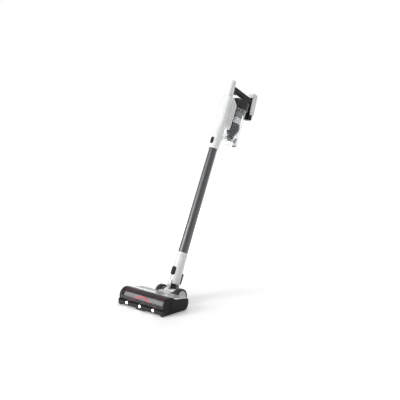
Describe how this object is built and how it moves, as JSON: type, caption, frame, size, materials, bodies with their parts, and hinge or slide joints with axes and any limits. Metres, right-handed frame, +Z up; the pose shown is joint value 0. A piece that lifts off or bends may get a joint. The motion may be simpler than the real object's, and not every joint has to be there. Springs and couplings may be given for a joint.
{
  "type": "cordless stick vacuum",
  "caption": "Cordless stick vacuum: leaning wand with a powered floor head, a hand unit with clear dust cup, motor barrel, grip and slide-on battery, and joints for every moving part.",
  "frame": {"origin": "on the floor at the middle of the felt strip under the head, in the head's middle plane", "axes": "+Z up, -Y towards the head's front bumper, +X towards the roller's removable end plug; the stick leans back towards +Y"},
  "size_m": [0.27, 0.7472, 0.9508],
  "materials": {
    "gloss_white": "glossy",
    "satin_white": "satin",
    "light_grey": "satin",
    "gloss_black": "glossy",
    "satin_black": "satin",
    "dark_grey": "satin",
    "gunmetal": "satin anodised",
    "clear_cup": "clear",
    "smoky_window": "clear, smoky",
    "led_lens": "frosted",
    "display": "glossy",
    "steel": "bright",
    "mesh": "pierced",
    "tyre_rubber": "matte",
    "rubber": "matte",
    "pile": "soft pile",
    "bristle": "stiff bristle",
    "felt": "felt",
    "foam": "open foam",
    "board": "satin",
    "cell": "shrink sleeve"
  },
  "bodies": {
    "main_unit": {"duct_tube": "satin_white", "spine_housing": "satin_white", "front_strip": "gloss_white", "side_trims": "light_grey", "rear_frame": "satin_black", "inlet_seal": "rubber", "control_board": "board", "display_lens": "display", "motor_housing": "dark_grey", "fan_motor": "steel", "exhaust_filter": "foam", "grip": "satin_black", "battery_holder": "satin_black"},
    "nozzle_key": {"nozzle_button": "satin_black"},
    "mode_key": {"mode_button": "dark_grey"},
    "trigger_lever": {"trigger": "dark_grey"},
    "fan": {"impeller": "dark_grey"},
    "battery": {"battery_shell": "satin_white", "battery_cells": "cell"},
    "battery_key": {"battery_button": "dark_grey"},
    "cup": {"dust_cup": "clear_cup", "cyclone_head": "dark_grey", "cyclone_cone": "dark_grey", "mesh_screen": "mesh", "foam_filter": "foam", "cup_pins": "steel"},
    "lid": {"cup_lid": "clear_cup"},
    "latch": {"lid_latch": "satin_black"},
    "wand": {"wand_tube": "gunmetal", "wand_bottom_connector": "dark_grey", "wand_top_connector": "dark_grey", "wand_wiring": "steel"},
    "neck": {"neck_housing": "satin_white", "neck_rear_cover": "satin_black", "swivel_caps": "light_grey"},
    "neck_key": {"neck_button": "satin_black"},
    "swivel": {"yoke": "satin_white", "swivel_pins": "steel"},
    "head": {"chassis": "satin_black", "bumper": "gloss_black", "led_lenses": "led_lens", "window": "smoky_window", "side_panel_left": "satin_black", "side_panel_right": "satin_black", "roller_plug": "satin_black", "top_cover": "gloss_white", "drive_belt": "rubber", "brush_motor": "steel", "neck_axles": "steel", "sole_felt": "felt", "head_screws": "steel"},
    "brush": {"brush_core": "dark_grey", "brush_pile": "pile", "bristle_strips": "bristle"},
    "brush_drive": {"motor_pulley": "dark_grey"},
    "wheel_left": {"tyre_left": "tyre_rubber", "hub_left": "light_grey"},
    "wheel_right": {"tyre_right": "tyre_rubber", "hub_right": "light_grey"},
    "small_rollers": {"front_rollers": "dark_grey"}
  },
  "joints": [
    {"name": "wand_slide", "type": "slide", "parent": "main_unit", "child": "wand", "axis": [0, -0.4051, -0.9143], "range_m": [0, 0.045]},
    {"name": "neck_slide", "type": "slide", "parent": "wand", "child": "neck", "axis": [0, -0.4051, -0.9143], "range_m": [0, 0.045]},
    {"name": "neck_swivel", "type": "hinge", "parent": "neck", "child": "swivel", "pos_m": [0, 0.08215, 0.06043], "axis": [0, 0.9143, -0.4051], "range_deg": [-40, 40]},
    {"name": "neck_pitch", "type": "hinge", "parent": "swivel", "child": "head", "pos_m": [0, 0.07, 0.033], "axis": [1, 0, 0], "range_deg": [-23, 60]},
    {"name": "brush_spin", "type": "hinge", "parent": "head", "child": "brush", "pos_m": [0, -0.065, 0.034], "axis": [1, 0, 0], "continuous": true},
    {"name": "brush_motor_spin", "type": "hinge", "parent": "head", "child": "brush_drive", "pos_m": [0, -0.008, 0.026], "axis": [1, 0, 0], "continuous": true},
    {"name": "wheel_left_spin", "type": "hinge", "parent": "head", "child": "wheel_left", "pos_m": [-0.056, 0.07, 0.033], "axis": [1, 0, 0], "continuous": true},
    {"name": "wheel_right_spin", "type": "hinge", "parent": "head", "child": "wheel_right", "pos_m": [0.056, 0.07, 0.033], "axis": [1, 0, 0], "continuous": true},
    {"name": "small_roller_spin", "type": "hinge", "parent": "head", "child": "small_rollers", "pos_m": [0, 0.008, 0.0055], "axis": [1, 0, 0], "continuous": true},
    {"name": "nozzle_release", "type": "slide", "parent": "main_unit", "child": "nozzle_key", "axis": [0, 0.9143, -0.4051], "range_m": [0, 0.002], "stiffness_N_per_m": 1200},
    {"name": "neck_release", "type": "slide", "parent": "neck", "child": "neck_key", "axis": [0, 0.9143, -0.4051], "range_m": [0, 0.002], "stiffness_N_per_m": 1200},
    {"name": "mode_press", "type": "slide", "parent": "main_unit", "child": "mode_key", "axis": [0, -0.4051, -0.9143], "range_m": [0, 0.001], "stiffness_N_per_m": 1500},
    {"name": "trigger_pull", "type": "hinge", "parent": "main_unit", "child": "trigger_lever", "pos_m": [0, 0.47259, 0.90201], "axis": [1, 0, 0], "range_deg": [0, 6], "stiffness_Nm_per_rad": 1.2, "springref_deg": -2.86},
    {"name": "battery_slide", "type": "slide", "parent": "main_unit", "child": "battery", "axis": [0, 0.3239, 0.9461], "range_m": [0, 0.07]},
    {"name": "battery_release", "type": "slide", "parent": "main_unit", "child": "battery_key", "axis": [0, -0.9461, 0.3239], "range_m": [0, 0.0015], "stiffness_N_per_m": 1200},
    {"name": "cup_slide", "type": "slide", "parent": "main_unit", "child": "cup", "axis": [0, -0.4051, -0.9143], "range_m": [0, 0.03]},
    {"name": "cup_lid_swing", "type": "hinge", "parent": "cup", "child": "lid", "pos_m": [0, 0.41064, 0.68817], "axis": [-1, 0, 0], "range_deg": [0, 95]},
    {"name": "lid_latch_press", "type": "hinge", "parent": "cup", "child": "latch", "pos_m": [0, 0.49315, 0.67294], "axis": [1, 0, 0], "range_deg": [0, 8], "stiffness_Nm_per_rad": 0.3, "springref_deg": -2.86},
    {"name": "fan_spin", "type": "hinge", "parent": "main_unit", "child": "fan", "pos_m": [0, 0.517, 0.82698], "axis": [0, 0.4051, 0.9143], "continuous": true}
  ],
  "couplings": [
    {"joint": "brush_motor_spin", "follows": "brush_spin", "ratio": 2}
  ]
}
